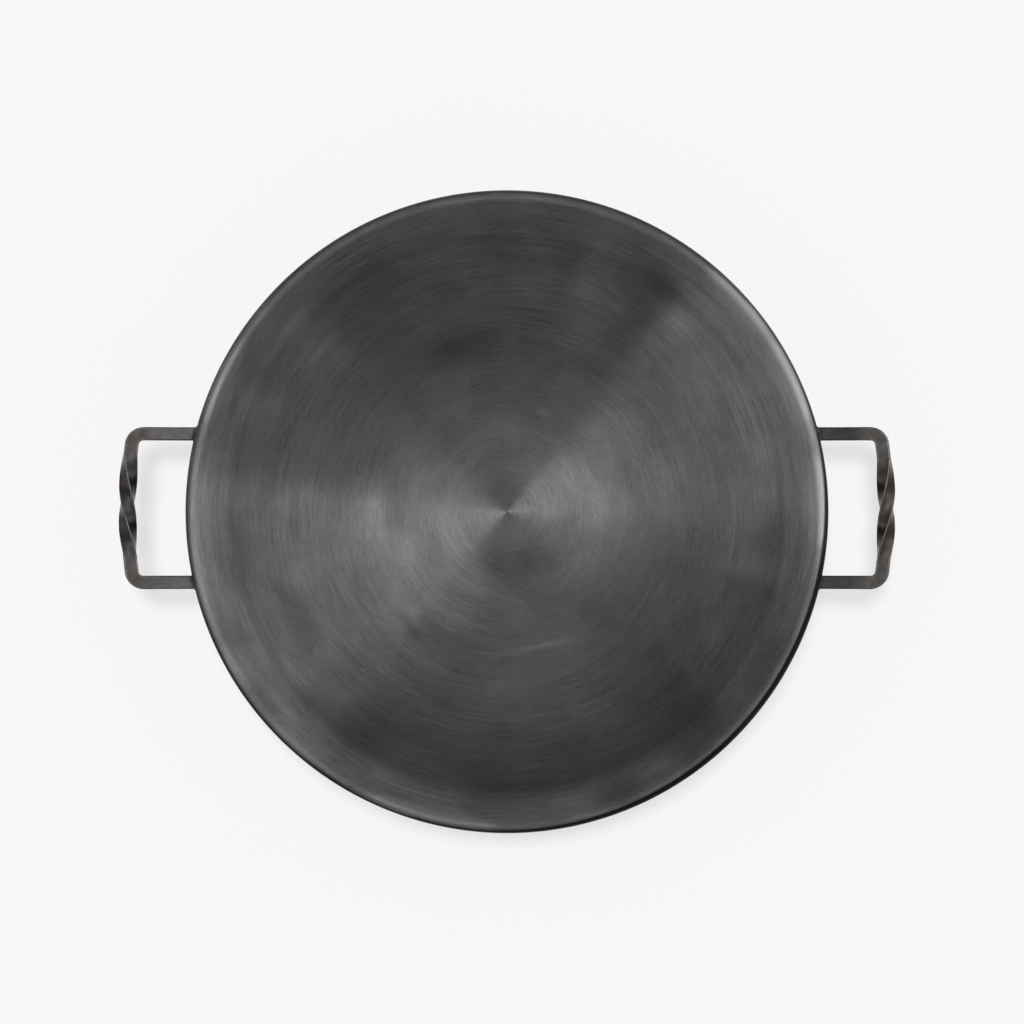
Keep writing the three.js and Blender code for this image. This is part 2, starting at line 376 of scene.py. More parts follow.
# %% [markdown]
# ## Rubbed, dulled and painted-light places
# A used pan isn't even. Cloths leave soft bright wipes on the inside, and other places go dull. Many of
# these marks are also painted light and shade: they lighten or darken the steel where the lamps' light and
# shade fall on it. The lip's marks set its burnish and the highlights painted on it. A noise alone would
# put them anywhere. So each mark is placed one by one as a soft-edged oval that lies along its circle, as
# a wiping hand goes round. A row holds its radius in millimetres, its bearing in degrees from +X, its half
# length and half width in millimetres, and its strength.

# %% Place the marks
# Bright wipes, and painted light where the steel should catch more of the lamps.
WIPES_AND_PAINTED_LIGHT = [
    (183, 50, 42, 10, 0.9),
    (192, 106, 44, 12, 0.9),
    (78, 70, 9, 4, 0.9),
    (102, 283, 52, 4, 0.8),
    (131, 209, 44, 8, 0.45),
    (101, 226, 12, 6, 0.7),
    (66, 29, 26, 5, 0.4),
    (189, 21, 52, 20, 1.1),
    (163, 354, 14, 5, 0.5),
    (218, 356, 10, 5, 0.6),
    (30, 50, 30, 18, 0.6),
    (168, 84, 26, 30, 0.6),
    (196, 82, 32, 14, 0.8),
    (193, 157, 30, 20, 0.9),
    (43, 214, 34, 20, 0.8),
    (58, 246, 34, 22, 1.4),
    (85, 244, 38, 18, 1.4),
    (124, 240, 34, 12, 0.6),
    (198, 250, 64, 20, 0.9),
]
# Where the lip is burnished and painted with highlights, at the bearings where the lamps glint on it.
LIP_BURNISH_AND_HIGHLIGHT = [
    (221, 2, 44, 14, 0.9),
    (221, 25, 44, 14, 0.9),
    (222, 42, 44, 12, 0.7),
    (222, 155, 46, 12, 0.6),
    (222, 256, 60, 12, 1.2),
]
# Dull places, and painted shade where the steel should catch less of the lamps.
DULL_AND_PAINTED_SHADE = [
    (200, 188, 46, 26, -0.7),
    (217, 206, 44, 16, -0.8),
    (222, 219, 40, 12, -1.4),
    (216, 292, 40, 18, -1.3),
    (214, 310, 56, 20, -1.2),
    (216, 328, 44, 18, -1.0),
    (191, 352, 34, 26, -1.1),
    (124, 107, 48, 22, -1.2),
    (122, 64, 34, 12, -0.6),
    (173, 319, 60, 14, -0.5),
    (112, 232, 16, 6, -0.6),
    (52, 352, 36, 20, -1.1),
    (93, 18, 52, 14, -0.6),
    (40, 285, 34, 26, -0.6),
    (80, 180, 42, 18, -1.0),
    (172, 207, 62, 22, -1.0),
]


def oval_mark(tree, flat_place, radius, bearing, length, width, strength):
    """One soft-edged oval, drawn out along the circle through it."""
    turn = radians(bearing)
    inputs = {
        "Vector": flat_place,
        "Location": Vector((cos(turn), sin(turn), 0)) * radius * MM,
        "Rotation": (0, 0, turn + pi / 2),
        "Scale": (length * MM, width * MM, 1),
    }
    local = add_node(tree, "ShaderNodeMapping", inputs, vector_type="TEXTURE").outputs[0]
    return remap(tree, vector_calc(tree, "LENGTH", local), 0, 1, strength, 0, smooth=True)


def all_marks(tree, flat_place):
    """All marks added up: above zero where the steel is wiped or painted lighter, below where it is dull or
    painted darker.
    """
    marks = 0
    for mark in WIPES_AND_PAINTED_LIGHT + LIP_BURNISH_AND_HIGHLIGHT + DULL_AND_PAINTED_SHADE:
        marks = calc(tree, "ADD", marks, oval_mark(tree, flat_place, *mark))
    return marks


print(len(WIPES_AND_PAINTED_LIGHT), "wipes,", len(LIP_BURNISH_AND_HIGHLIGHT), "polished and", len(DULL_AND_PAINTED_SHADE), "dull places")

# %% [markdown]
# ## Brush strokes
# The sheet was brushed while it turned on the lathe, so every scratch is an arc round the axis. Rings
# drawn with a wave would be too perfect. Here noise is drawn out along the circle by the length of a
# stroke, and changes along the section by a pitch that is far smaller. Four sizes of it, from fine
# scratches to broad bands, and a cloudy smudge make up the tone of the steel.

# %% Brush the steel
FINE_STROKES = {"stroke": 5 * MM, "pitch": 0.8 * MM, "detail": 1.5}
BRUSH_LINES = {"stroke": 12 * MM, "pitch": 1.3 * MM, "detail": 2}
LONG_ARCS = {"stroke": 45 * MM, "pitch": 1.8 * MM, "detail": 1.5}
BROAD_BANDS = {"stroke": 70 * MM, "pitch": 14 * MM, "detail": 2}
SMUDGES = {"scale": 26, "detail": 2.5, "roughness": 0.5}
FINE_SHARE = 0.6
BAND_SHARE = 0.3
GRAIN_SHARE = 0.5


def brush_strokes(tree, flat_place, length, stroke, pitch, detail):
    """Noise that is drawn out along the circle by a stroke, and changes by a pitch along the section."""
    lift = add_node(tree, "ShaderNodeCombineXYZ", {"Z": calc(tree, "DIVIDE", length, pitch)}).outputs[0]
    return cloud(tree, vector_calc(tree, "ADD", scaled(tree, flat_place, 1 / stroke), lift), 1.0, detail)


print("strokes of", in_mm((FINE_STROKES["stroke"], LONG_ARCS["stroke"]), 0), "mm")

# %% Tone of the steel
DULL_STEEL = (0.0596, 0.0596, 0.0596, 1)
CLEAN_STEEL = (0.1496, 0.1496, 0.1488, 1)
DULL_TONE = 0.28
CLEAN_TONE = 0.78
MARK_STEP = 0.18
MARK_STREAKS = (0.6, 1.4)
ARC_PRESSURE = (0.15, 0.5)
PRESSURE_REACH = 0.15
CALM_RADIUS = 50 * MM
CALM_SHARE = 0.3
BRUSHED_RADIUS = 150 * MM


def steel_tone(tree, flat_place, inside, marks, grain, patches, arcs, bands):
    """How clean the steel is, with the marks' painted light and shade: grain and patches, the marks, and
    long arcs that show most on the wall.
    """
    tone = blend(tree, patches, grain, GRAIN_SHARE)
    rubbed_and_painted_light = times(tree, marks, inside, spread(tree, arcs, *MARK_STREAKS))
    tone = calc(tree, "MULTIPLY_ADD", rubbed_and_painted_light, MARK_STEP, tone)
    radius = vector_calc(tree, "LENGTH", flat_place)
    on_wall = remap(tree, radius, CALM_RADIUS, BRUSHED_RADIUS, CALM_SHARE, 1)
    pressed = times(tree, spread(tree, bands, *ARC_PRESSURE, PRESSURE_REACH), on_wall)
    return calc(tree, "MULTIPLY_ADD", calc(tree, "SUBTRACT", arcs, NOISE_MIDDLE), pressed, tone)


print("steel reflects", DULL_STEEL[0], "to", CLEAN_STEEL[0])

# %% [markdown]
# ## The lip
# The crown of the lip is burnished, and it is painted bright with highlights where the lamps glint on it.
# Away from those marks it keeps little of that paint. Its outer edge is painted dark, as painted shade and
# a painted dark reflection. That paint is faint at the rear, on the lit side, and at the front right it
# creeps over the lip. Painting it by hand isn't needed: the distance along the section says how far round
# the lip a point is, and a dot product with a direction says on which side of the wok.

# %% Wear and painted light of the lip
# The colour of the burnished crown, which also paints its highlights.
BURNISH_AND_HIGHLIGHT_STEEL = (0.165, 0.163, 0.159, 1)
HIGHLIGHT_BURNISH_FULL = 13 * MM
HIGHLIGHT_BURNISH_END = 23 * MM
UNMARKED_HIGHLIGHT = 0.12
FULL_HIGHLIGHT_MARK = 0.35
HIGHLIGHT_BURNISH_STREAKS = (0.8, 1)
# Colours of the painted shade on the outer edge of the lip.
SHADED_EDGE_BLACK = (0.009, 0.009, 0.009, 1)
SHADED_EDGE_GREY = (0.022, 0.022, 0.022, 1)
EDGE_FULL = 9.5 * MM
EDGE_END = 11.1 * MM
EDGE_CREEP = 2.2 * MM
SHADED_SIDE = radians(320)
CREEP_RANGE = (0.6, 0.95)
LIT_SIDE = radians(105)
FAINT_RANGE = (-0.2, 0.65)
FAINTEST = 0.35
OUTSIDE_UNSHADED = 12 * MM
OUTSIDE_SHADED = 6 * MM


def towards(tree, place, bearing):
    """1 at the rim in one direction, and -1 opposite."""
    direction = Vector((cos(bearing), sin(bearing), 0)) / RIM_RADIUS
    return vector_calc(tree, "DOT_PRODUCT", place, direction)


def burnish_and_highlight_lip(tree, length, inside, marks, lines):
    """1 where the crown of the lip is burnished and painted bright with highlights, fading out down the
    brim.
    """
    crown = remap(tree, length, lip_length + HIGHLIGHT_BURNISH_FULL, lip_length + HIGHLIGHT_BURNISH_END, 1, 0, smooth=True)
    marked_highlight = remap(tree, marks, 0, FULL_HIGHLIGHT_MARK, UNMARKED_HIGHLIGHT, 1, smooth=True)
    return times(tree, crown, marked_highlight, spread(tree, lines, *HIGHLIGHT_BURNISH_STREAKS), inside)


def painted_shade_edge(tree, place, length):
    """1 where the outer edge of the lip is painted dark, as painted shade and a painted dark reflection."""
    creep = remap(tree, towards(tree, place, SHADED_SIDE), *CREEP_RANGE, 0, EDGE_CREEP)
    crept = calc(tree, "SUBTRACT", length, creep)
    rolled = remap(tree, crept, lip_length + EDGE_FULL, lip_length + EDGE_END, 1, 0, smooth=True)
    faint = remap(tree, towards(tree, place, LIT_SIDE), *FAINT_RANGE, 1, FAINTEST)
    outside = remap(tree, length, lip_length - OUTSIDE_UNSHADED, lip_length - OUTSIDE_SHADED, 0, 1)
    return times(tree, rolled, faint, outside)


print("the dark edge ends", round(EDGE_END / MM, 1), "mm past the edge of the lip")

# %% [markdown]
# ## Spun steel
# Circular scratches smear a highlight across themselves: in a round pan this gives two bright wedges that
# meet in the middle. Painted wedges would stay put when the light moves. So the shader is anisotropic,
# with its tangent running round the axis, and the wedges come from the lamps. The strokes also bump the
# surface a little.

# %% Finish of the bowl
FULL_ANISOTROPY = 1.0
QUARTER_TURN = 0.25
PATCH_ROUGHNESS = (0.3, 0.25)
BURNISH_GLOSS = -0.07
SCRATCH_STRENGTH = 0.3
SCRATCH_DEPTH = 0.05 * MM


def spun_steel():
    """Dark steel, brushed in circles."""
    material, tree, shader, place = new_finish("spun_steel")
    length = attribute(tree, "spin_length")
    flat_place = vector_calc(tree, "MULTIPLY", place, (1, 1, 0))
    inside = calc(tree, "GREATER_THAN", length, lip_length)
    layers = (FINE_STROKES, BRUSH_LINES, LONG_ARCS, BROAD_BANDS)
    fine, lines, arcs, bands = [brush_strokes(tree, flat_place, length, **layer) for layer in layers]
    grain = blend(tree, lines, fine, FINE_SHARE)
    patches = blend(tree, cloud(tree, place, **SMUDGES), bands, BAND_SHARE)
    marks = all_marks(tree, flat_place)
    tone = steel_tone(tree, flat_place, inside, marks, grain, patches, arcs, bands)
    # Burnish and painted highlight on the crown of the lip.
    burnish_and_highlight = burnish_and_highlight_lip(tree, length, inside, marks, lines)

    colour = mix_colours(tree, remap(tree, tone, DULL_TONE, CLEAN_TONE, 0, 1), DULL_STEEL, CLEAN_STEEL)
    colour = mix_colours(tree, burnish_and_highlight, colour, BURNISH_AND_HIGHLIGHT_STEEL)
    # Painted shade: the outer edge of the lip is darkened, least on the lit rear side.
    shaded_edge_colour = mix_colours(tree, tone, SHADED_EDGE_BLACK, SHADED_EDGE_GREY)
    colour = mix_colours(tree, painted_shade_edge(tree, place, length), colour, shaded_edge_colour)
    roughness = calc(tree, "MULTIPLY_ADD", burnish_and_highlight, BURNISH_GLOSS, spread(tree, patches, *PATCH_ROUGHNESS))
    dress(tree, shader, colour, roughness, grain, SCRATCH_STRENGTH, SCRATCH_DEPTH)

    tangent = add_node(tree, "ShaderNodeTangent", direction_type="RADIAL", axis="Z").outputs[0]
    tree.links.new(tangent, shader.inputs["Tangent"])
    shader.inputs["Anisotropic"].default_value = FULL_ANISOTROPY
    shader.inputs["Anisotropic Rotation"].default_value = QUARTER_TURN
    return material


bowl_finish = spun_steel()
print("spun steel:", len(bowl_finish.node_tree.nodes), "nodes")

# %% [markdown]
# ## The bowl
# A spun bowl is its section turned round the axis. The Spin tool or a Screw modifier could do that. Here
# a tree bends a flat grid instead: across the grid lies the angle, up the grid the outline's points. That
# way each point can carry its distance along the section, which the brushed finish needs. The grid's two
# side edges and the points on the axis are merged, so the sheet is one closed solid.

# %% Spin the section
BOWL_SEGMENTS = 288
MERGE_DISTANCE = 0.001 * MM


def spun_bowl():
    """A tree that turns a section line round the Z axis."""
    tree, size, section = new_tree("spin_section", "Section", {"Points": "Int", "Segments": "Int"})
    columns = calc(tree, "ADD", size["Segments"], 1)
    # The grid is a square of side 1 round the origin, so both of its axes run from -0.5 to 0.5.
    square = {"Size X": 1, "Size Y": 1, "Vertices X": columns, "Vertices Y": size["Points"]}
    grid = add_node(tree, "GeometryNodeMeshGrid", square).outputs["Mesh"]
    position = add_node(tree, "GeometryNodeInputPosition").outputs[0]
    cell = add_node(tree, "ShaderNodeSeparateXYZ", {0: position}).outputs
    angle = remap(tree, cell["X"], -0.5, 0.5, 0, 2 * pi)
    last = calc(tree, "SUBTRACT", size["Points"], 1)
    index = calc(tree, "ROUND", times(tree, calc(tree, "ADD", cell["Y"], 0.5), last))

    def on_section(value, kind):
        """A value of the section line at the grid point's index."""
        inputs = {"Geometry": section, "Value": value, "Index": index}
        return add_node(tree, "GeometryNodeSampleIndex", inputs, data_type=kind).outputs[0]

    along = add_node(tree, "GeometryNodeSplineParameter").outputs["Length"]
    marked = keep_attribute(tree, grid, "spin_length", on_section(along, "FLOAT"))
    station = {"Vector": on_section(position, "FLOAT_VECTOR"), "Angle": angle}
    turned = add_node(tree, "ShaderNodeVectorRotate", station, rotation_type="Z_AXIS").outputs[0]
    shaped = add_node(tree, "GeometryNodeSetPosition", {"Geometry": marked, "Position": turned}).outputs[0]
    seam = {"Geometry": shaped, "Distance": MERGE_DISTANCE}
    closed = add_node(tree, "GeometryNodeMergeByDistance", seam).outputs[0]
    return close_tree(tree, closed, size["Finish"])


section_line = guide_line("bowl_section", [(at.x, 0, at.y) for at in outline])
bowl = make_piece(
    "spun_bowl",
    spun_bowl(),
    {"Section": section_line, "Points": len(outline), "Segments": BOWL_SEGMENTS, "Finish": bowl_finish},
)

# %% [markdown]
# ## Where a handle sits
# The legs of a handle lie under the lip and climb outwards a little. It is easiest to draw the loop flat,
# in a frame of its own: along the legs, across them, and square to its plane. That frame's origin is
# between the legs, under the edge of the lip. One matrix then carries anything from the flat drawing to
# its real place. On the real wok both handles were welded on a little to the rear of the middle, which is
# the shift.

# %% Frame of the right handle
BAR = 9.5 * MM
BAR_EDGE = 0.6 * MM
LEG_SPACING = 106.5 * MM
HANDLE_RISE = radians(10)
LIP_PLAY = 0.6 * MM
HANDLE_SHIFT = 2.6 * MM

half_bar = BAR / 2
leg_half = LEG_SPACING / 2
seat_x = sqrt(lip_end.x**2 - leg_half**2)
leg_top = lip_end.y - SHEET / 2 - LIP_PLAY
seat_z = leg_top - half_bar / cos(HANDLE_RISE)
handle_frame = Matrix.Translation((seat_x, HANDLE_SHIFT, seat_z)) @ Matrix.Rotation(-HANDLE_RISE, 4, "Y")
print("the right handle's frame is at", in_mm(handle_frame.translation, 1), "mm")

# %% Where the legs meet the wall
LEG_ROOM = 1 * MM
wall_line = [at for at, (_, heading) in zip(underside, sheet) if heading > 0]


def wall_outside(height):
    """The radius of the wall's outside at a height."""
    for low, high in zip(wall_line, wall_line[1:]):
        if high.y > height:
            break
    return low.x + (high.x - low.x) * (height - low.y) / (high.y - low.y)


def meets_wall(across, rise):
    """How far along the leg a line of it meets the outside of the wall."""

    def clear(distance):
        """How far a point of that line is outside the wall."""
        place = handle_frame @ Vector((distance, across, rise))
        return hypot(place.x, place.y) - wall_outside(place.z)

    return solve(clear, -seat_x / 2, 0)


sides = [leg + side for leg in (-leg_half, leg_half) for side in (-half_bar, half_bar)]
corner_meets = [meets_wall(side, rise) for side in sides for rise in (-half_bar, half_bar)]
leg_start = max(corner_meets) + LEG_ROOM
print("a leg's corners meet the wall", in_mm(corner_meets, 1), "mm from the lip's edge")

# %% [markdown]
# ## Forged bar
# The handles are mill bar. The grip was heated to be twisted, which left a brown skin of scale, and the
# legs stayed grey. What faces up is painted lighter, as painted light, together with scale that hands
# rub off there. Along the edges that face up, bare steel shows as thin bright lines: worn steel with a
# painted highlight. The tree that makes the bar stores three numbers on each point: how near it is to an
# edge, how hot it was, and how much it faces up, which sets the painted top light and rub. The finish
# mixes its colours by them.

# %% Finish of the handles
SCALE_PATCHES = {"scale": 160, "detail": 5, "roughness": 0.65}
PITS = {"scale": 900, "detail": 3, "roughness": 0.6}
EDGE_BREAKS = {"scale": 260, "detail": 4, "roughness": 0.7}
LEG_SCALE = ((0.021, 0.021, 0.0205, 1), (0.034, 0.0335, 0.033, 1))
GRIP_SCALE = ((0.024, 0.02, 0.018, 1), (0.038, 0.032, 0.029, 1))
LEG_STEEL = ((0.07, 0.069, 0.068, 1), (0.096, 0.095, 0.094, 1))
GRIP_STEEL = ((0.052, 0.0465, 0.043, 1), (0.08, 0.0715, 0.067, 1))
# Bare steel on edges that face up: wear, and a painted highlight along them.
BARE_EDGE_HIGHLIGHT = (0.3, 0.285, 0.27, 1)
TOP_LIGHT_FROM = 0.72
TOP_LIGHT_FULL = 0.98
BREAK_SHARES = (0.35, 1)
SCALE_ROUGHNESS = (0.36, 0.29)
EDGE_GLOSS = -0.08
PIT_SHARE = 0.4
SCALE_STRENGTH = 0.35
SCALE_DEPTH = 0.2 * MM


def forged_bar():
    """Scale that is grey on the legs and brown on the grip, painted lighter where it faces up and rubbed,
    with bare steel and a painted highlight on edges that face up.
    """
    material, tree, shader, place = new_finish("forged_bar")
    heat = attribute(tree, "heat_tint")
    patches = cloud(tree, place, **SCALE_PATCHES)
    share = spread(tree, patches, 0, 1)
    pairs = (LEG_SCALE, GRIP_SCALE, LEG_STEEL, GRIP_STEEL)
    leg_scale, grip_scale, leg_steel, grip_steel = [mix_colours(tree, share, *pair) for pair in pairs]
    # Painted light: faces that point up are made lighter, along with the scale rubbed off them.
    rubbed_and_painted_light = remap(tree, attribute(tree, "hand_rub"), TOP_LIGHT_FROM, TOP_LIGHT_FULL, 0, 1, smooth=True)
    scale_colour = mix_colours(tree, heat, leg_scale, grip_scale)
    steel_colour = mix_colours(tree, heat, leg_steel, grip_steel)
    broken = spread(tree, cloud(tree, place, **EDGE_BREAKS), *BREAK_SHARES)
    # Painted highlight and wear: bare bright steel only on edges that face up.
    bare_edge_highlight = times(tree, attribute(tree, "edge_wear"), rubbed_and_painted_light, times(tree, broken, heat))

    colour = mix_colours(tree, rubbed_and_painted_light, scale_colour, steel_colour)
    colour = mix_colours(tree, bare_edge_highlight, colour, BARE_EDGE_HIGHLIGHT)
    roughness = calc(tree, "MULTIPLY_ADD", bare_edge_highlight, EDGE_GLOSS, spread(tree, patches, *SCALE_ROUGHNESS))
    relief = calc(tree, "MULTIPLY_ADD", cloud(tree, place, **PITS), PIT_SHARE, patches)
    dress(tree, shader, colour, roughness, relief, SCALE_STRENGTH, SCALE_DEPTH)
    return material


handle_finish = forged_bar()
print("forged bar:", len(handle_finish.node_tree.nodes), "nodes")

# %% [markdown]
# ## The loop of a handle
# A smith bends the loop from one bar: a leg, a tight corner, a grip that bows out a little, a corner and
# the other leg. A drawn curve with handles could follow that, but wouldn't keep its radii. The walker
# does, and only the lean of the grip's ends has to be solved for, so that the two legs come out at their
# spacing.

# %% Bend the loop
FINGER_ROOM = 37 * MM
GRIP_BOW = 3 * MM
BEND_RADIUS = 8.5 * MM
LEAST_LEAN = radians(0.5)
MOST_LEAN = radians(60)
LEG_STEPS = 40
CORNER_STEPS = 16
GRIP_STEPS = 120


def loop_line():
    """The middle of the bar in the handle's flat frame, from the rear leg's inner end to the front one's."""

    def half_span(lean):
        """Half the distance between the legs, if the grip's ends lean by an angle."""
        return BEND_RADIUS * (1 - sin(lean)) + GRIP_BOW / tan(lean / 2)

    lean = solve(lambda angle: leg_half - half_span(angle), LEAST_LEAN, MOST_LEAN)
    grip_radius = GRIP_BOW / (1 - cos(lean))
    grip_middle = (RIM_RADIUS + FINGER_ROOM + half_bar - seat_x) / cos(HANDLE_RISE)
    leg_length = grip_middle - GRIP_BOW - BEND_RADIUS * cos(lean) - leg_start
    leg = (leg_length, 0, LEG_STEPS)
    corner = (BEND_RADIUS, lean - pi / 2, CORNER_STEPS)
    grip = (grip_radius, -2 * lean, GRIP_STEPS)
    return [at for at, _ in trace((leg_start, leg_half), 0, [leg, corner, grip, corner, leg])]


loop_places = [(*at, 0) for at in loop_line()]
print(len(loop_places), "points along the loop, its grip is", in_mm([max(loop_places)[0]], 1), "mm out")

# %% [markdown]
# ## The twisted bar
# The smith twists the grip half a turn while it is hot. Turning a mesh by hand would shear it. The tree
# does what the smith does: it turns the bar about its own line by tilting the curve, and sweeps a rounded
# square along it. The tilt is a rule of the place across the handle, so the twist can be moved, stretched
# or eased by its inputs. A little noise takes off the machined look.

# %% Parts of the tree
FILLET_POINTS = 8
SECTION_POINTS = 96
WEAR_FROM = 1.25
WEAR_FULL = 1.35
DENTS = {"Scale": 140.0, "Detail": 2.0}


def half_turn(tree, size, position):
    """The tilt of the bar: none on one leg, half a turn on the other, eased in and out on the grip."""
    across = add_node(tree, "ShaderNodeSeparateXYZ", {0: position}).outputs["Y"]
    reach = calc(tree, "DIVIDE", calc(tree, "SUBTRACT", size["Twist Middle"], across), size["Twist Length"])
    share = calc(tree, "ADD", reach, 0.5, use_clamp=True)
    eased = remap(tree, share, 0, 1, 0, 1, smooth=True)
    swing = times(tree, calc(tree, "SUBTRACT", eased, share), size["Twist Ease"])
    return times(tree, calc(tree, "ADD", share, swing), pi)


def bar_section(tree, size, position):
    """A square with rounded edges, which knows how near its points are to an edge."""
    sides = {"Width": size["Bar"], "Height": size["Bar"]}
    square = add_node(tree, "GeometryNodeCurvePrimitiveQuadrilateral", sides).outputs[0]
    fillet = {"Curve": square, "Count": FILLET_POINTS, "Radius": size["Edge Radius"]}
    rounded = add_node(tree, "GeometryNodeFilletCurve", fillet, mode="POLY").outputs[0]
    points = {"Curve": rounded, "Count": SECTION_POINTS}
    even = add_node(tree, "GeometryNodeResampleCurve", points).outputs[0]
    from_middle = calc(tree, "DIVIDE", vector_calc(tree, "LENGTH", position), times(tree, size["Bar"], 0.5))
    return keep_attribute(tree, even, "edge_wear", remap(tree, from_middle, WEAR_FROM, WEAR_FULL, 0, 1))


def hammered(tree, size, swept, position, normal):
    """The bar with shallow dents."""
    dents = add_node(tree, "ShaderNodeTexNoise", {"Vector": position, **DENTS}).outputs[0]
    depth = times(tree, calc(tree, "SUBTRACT", dents, NOISE_MIDDLE), size["Hammering"])
    inputs = {"Geometry": swept, "Offset": scaled(tree, normal, depth)}
    return add_node(tree, "GeometryNodeSetPosition", inputs).outputs[0]


print("the section of the bar has", SECTION_POINTS, "points")

# %% Twist and sweep the bar
BAR_SIZES = [
    "Bar", "Edge Radius", "Twist Length", "Twist Middle", "Twist Ease", "Hammering",
    "Heated From", "Heated To", "Leg Rub And Light", "Grip Rub And Light",
]


def twisted_bar():
    """A tree that twists a square bar along a loop."""
    tree, size, loop = new_tree("twist_bar", "Loop", dict.fromkeys(BAR_SIZES, "Float"))
    position = add_node(tree, "GeometryNodeInputPosition").outputs[0]
    normal = add_node(tree, "GeometryNodeInputNormal").outputs[0]
    upright = add_node(tree, "GeometryNodeSetCurveNormal", {"Curve": loop}, mode="Z_UP").outputs[0]
    tilt = {"Curve": upright, "Tilt": half_turn(tree, size, position)}
    twisted = add_node(tree, "GeometryNodeSetCurveTilt", tilt).outputs[0]
    sweep = {"Curve": twisted, "Profile Curve": bar_section(tree, size, position), "Fill Caps": True}
    swept = add_node(tree, "GeometryNodeCurveToMesh", sweep).outputs[0]
    bar = hammered(tree, size, swept, position, normal)
    along = add_node(tree, "ShaderNodeSeparateXYZ", {0: position}).outputs["X"]
    heat = remap(tree, along, size["Heated From"], size["Heated To"], 0, 1, smooth=True)
    bar = keep_attribute(tree, bar, "heat_tint", heat)
    # How much a point faces up, scaled for legs and grip: it sets the painted top light and the rub.
    facing_up = add_node(tree, "ShaderNodeSeparateXYZ", {0: normal}).outputs["Z"]
    rub_and_light = remap(tree, heat, 0, 1, size["Leg Rub And Light"], size["Grip Rub And Light"])
    bar = keep_attribute(tree, bar, "hand_rub", times(tree, facing_up, rub_and_light))
    return close_tree(tree, bar, size["Finish"])


handle_tree = twisted_bar()
print("twist_bar:", len(handle_tree.nodes), "nodes")

# %% [markdown]
# ## Two handles
# The left handle is the mirror image of the right one, twist and all. Both are made in the flat frame,
# run on to the wall and carried to their place; the left one is then mirrored, which turns its faces
# inside out, so they are flipped back. On the real wok the two twists sit a few millimetres apart. The
# left legs are painted lighter on top than the right ones, as painted light.

# %% Make and seat the handles
HANDLE_SIZES = {
    "Bar": BAR,
    "Edge Radius": BAR_EDGE,
    "Twist Length": 74 * MM,
    "Twist Ease": 0.4,
    "Hammering": 0.25 * MM,
    "Heated From": 24 * MM,
    "Heated To": 42 * MM,
    "Grip Rub And Light": 0.95,
}
TWIST_MIDDLES = {"right": -1.5 * MM, "left": 2.5 * MM}
LEG_RUB_AND_LIGHT = {"right": 0.8, "left": 0.98}
LEG_SINK = 0.5 * MM
LEG_END_SLACK = 0.1 * MM


def seat_handle(piece, side):
    """Runs the ends of both legs on to the wall, and carries the flat loop to its place."""
    for vertex in piece.data.vertices:
        if vertex.co.x < leg_start + LEG_END_SLACK:
            vertex.co.x = meets_wall(vertex.co.y, vertex.co.z) - LEG_SINK
    piece.data.transform(handle_frame)
    if side == "left":
        piece.data.transform(Matrix.Scale(-1, 4, (1, 0, 0)))
        piece.data.flip_normals()


handles = {}
for side, twist_middle in TWIST_MIDDLES.items():
    values = {"Twist Middle": twist_middle, "Leg Rub And Light": LEG_RUB_AND_LIGHT[side], "Finish": handle_finish}
    values["Loop"] = guide_line("handle_loop", loop_places)
    handles[side] = make_piece(f"twisted_bar_{side}", handle_tree, {**HANDLE_SIZES, **values})
    seat_handle(handles[side], side)
    print("seated", handles[side].name, "with", round(cubic_cm(handles[side].data), 2), "cubic centimetres")

# %% [markdown]
# ## Weld metal
# A weld is metal that was laid drop by drop, and each drop froze as a ripple. It stays darker than the
# bar, with straw and blue tints from the heat. Its ripples are real geometry, so the finish only adds
# colour and grain.

# %% Finish of the welds
HEAT_TINTS = {"scale": 240, "detail": 3, "roughness": 0.5}
SOOT = {"scale": 700, "detail": 4, "roughness": 0.6}
STRAW = (0.06, 0.05, 0.042, 1)
BLUE = (0.085, 0.085, 0.09, 1)
SOOT_BLACK = (0.02, 0.019, 0.018, 1)
TINT_REACH = 0.15
SOOT_FROM = 0.5
SOOT_FULL = 0.75
SOOT_MOST = 0.7
WELD_ROUGHNESS = (0.34, 0.58)
WELD_STRENGTH = 0.3
WELD_DEPTH = 0.1 * MM


def weld_metal():
    """Dark metal with straw and blue tints under soot."""
    material, tree, shader, place = new_finish("weld_metal")
    heat = cloud(tree, place, **HEAT_TINTS)
    soot = cloud(tree, place, **SOOT)
    tinted = mix_colours(tree, spread(tree, heat, 0, 1, TINT_REACH), STRAW, BLUE)
    colour = mix_colours(tree, remap(tree, soot, SOOT_FROM, SOOT_FULL, 0, SOOT_MOST), tinted, SOOT_BLACK)
    dress(tree, shader, colour, spread(tree, soot, *WELD_ROUGHNESS), soot, WELD_STRENGTH, WELD_DEPTH)
    return material


weld_finish = weld_metal()
print("weld metal:", len(weld_finish.node_tree.nodes), "nodes")

# %% [markdown]
# ## The weld beads
# Two beads hold each leg: one across its top along the lip, and one round its end on the wall. Both are a
# round section swept along a seam, so one tree makes both. Its ripple input is a length, and the
# section's scale follows it along the bead. An open bead thins out at its two ends, and one round a leg
# closes on itself.

# %% Sweep a rippled bead
BEAD_STEP = 0.15 * MM
BEAD_CORNERS = 24
TAPER_POWER = 4
BEAD_SIZES = ["Radius", "Ripple", "Ripple Depth", "End Taper"]


